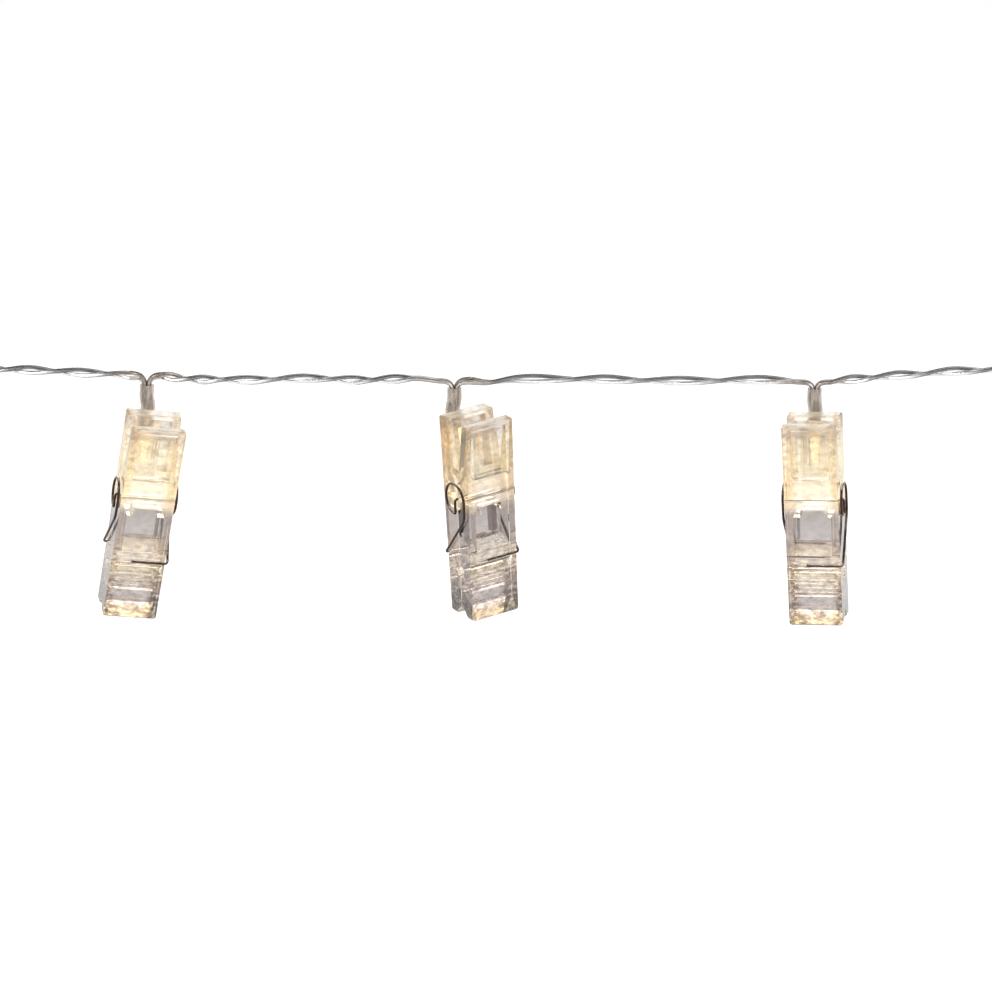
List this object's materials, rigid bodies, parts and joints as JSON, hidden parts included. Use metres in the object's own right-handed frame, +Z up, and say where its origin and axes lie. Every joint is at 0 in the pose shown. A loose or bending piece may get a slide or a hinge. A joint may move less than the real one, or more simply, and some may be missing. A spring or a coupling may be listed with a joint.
{
  "type": "clip string lights",
  "caption": "Battery string of clear spring clips, each lit by a lamp behind its handle, hung from a twisted two-wire cord, for showing cards and photos.",
  "frame": {"origin": "centre of the eye of the cord's end loop, where a hook or nail holds the string", "axes": "+X along the cord from the end loop to the battery box, +Y towards the wall behind, +Z up"},
  "size_m": [0.3574, 0.0265, 0.088],
  "materials": {
    "clear_plastic": "clear polished moulding",
    "clear_sleeve": "clear shrunk tube",
    "clear_wire": "clear insulation over tinned copper",
    "spring_steel": "polished wire",
    "led_lens": "warm white lens",
    "box_plastic": "fine matt moulding",
    "cell_skin": "smooth skin, plain",
    "contact_metal": "nickel plated",
    "board_resin": "solder resist",
    "dark_plastic": "fine matt moulding"
  },
  "bodies": {
    "root": {"end_loop": "clear_wire", "end_crimp": "clear_sleeve", "cord_left_end": "clear_wire", "cord_span_1_2": "clear_wire", "cord_span_2_3": "clear_wire", "cord_battery_lead": "clear_wire", "battery_case": "box_plastic", "battery_1": "cell_skin", "battery_2": "cell_skin", "battery_3": "cell_skin", "contact_spring_1": "contact_metal", "contact_spring_2": "contact_metal", "contact_spring_3": "contact_metal", "contact_plate_1": "contact_metal", "contact_plate_2": "contact_metal", "contact_plate_3": "contact_metal", "contact_plate_4": "contact_metal", "timer_board": "board_resin", "switch_body": "dark_plastic", "lead_grommet": "clear_sleeve", "inner_wires": "clear_wire"},
    "clip_1": {"clip_1_rear_jaw": "clear_plastic", "clip_1_spring_rear": "spring_steel", "clip_1_led": "led_lens", "clip_1_sleeve": "clear_sleeve", "clip_1_wire_tails": "clear_wire"},
    "clip_1_front": {"clip_1_front_jaw": "clear_plastic", "clip_1_spring_front": "spring_steel"},
    "clip_2": {"clip_2_rear_jaw": "clear_plastic", "clip_2_spring_rear": "spring_steel", "clip_2_led": "led_lens", "clip_2_sleeve": "clear_sleeve", "clip_2_wire_tails": "clear_wire"},
    "clip_2_front": {"clip_2_front_jaw": "clear_plastic", "clip_2_spring_front": "spring_steel"},
    "clip_3": {"clip_3_rear_jaw": "clear_plastic", "clip_3_spring_rear": "spring_steel", "clip_3_led": "led_lens", "clip_3_sleeve": "clear_sleeve", "clip_3_wire_tails": "clear_wire"},
    "clip_3_front": {"clip_3_front_jaw": "clear_plastic", "clip_3_spring_front": "spring_steel"},
    "lid": {"battery_lid": "box_plastic"},
    "knob": {"switch_knob": "dark_plastic"}
  },
  "joints": [
    {"name": "clip_1_swing", "type": "hinge", "parent": "root", "child": "clip_1", "pos_m": [0.054, 0, -0.0026], "axis": [1, 0, 0], "range_deg": [-45, 45]},
    {"name": "clip_1_open", "type": "hinge", "parent": "clip_1", "child": "clip_1_front", "pos_m": [0.0535, -0.00651, -0.03166], "axis": [-0.971, -0.2032, 0.1261], "range_deg": [0, 15], "stiffness_Nm_per_rad": 0.05, "springref_deg": -28.65},
    {"name": "clip_2_swing", "type": "hinge", "parent": "root", "child": "clip_2", "pos_m": [0.1306, 0, -0.0039], "axis": [1, 0, 0], "range_deg": [-45, 45]},
    {"name": "clip_2_open", "type": "hinge", "parent": "clip_2", "child": "clip_2_front", "pos_m": [0.137, -0.00568, -0.03118], "axis": [-0.8445, -0.5236, -0.1122], "range_deg": [0, 15], "stiffness_Nm_per_rad": 0.05, "springref_deg": -28.65},
    {"name": "clip_3_swing", "type": "hinge", "parent": "root", "child": "clip_3", "pos_m": [0.2204, 0, -0.0042], "axis": [1, 0, 0], "range_deg": [-45, 45]},
    {"name": "clip_3_open", "type": "hinge", "parent": "clip_3", "child": "clip_3_front", "pos_m": [0.22026, -0.00918, -0.03174], "axis": [-0.9805, 0.1933, -0.0366], "range_deg": [0, 15], "stiffness_Nm_per_rad": 0.05, "springref_deg": -28.65},
    {"name": "lid_slide", "type": "slide", "parent": "root", "child": "lid", "axis": [1, 0, 0], "range_m": [0, 0.059]},
    {"name": "switch_slide", "type": "slide", "parent": "root", "child": "knob", "axis": [0, 0, 1], "range_m": [0, 0.003]}
  ]
}
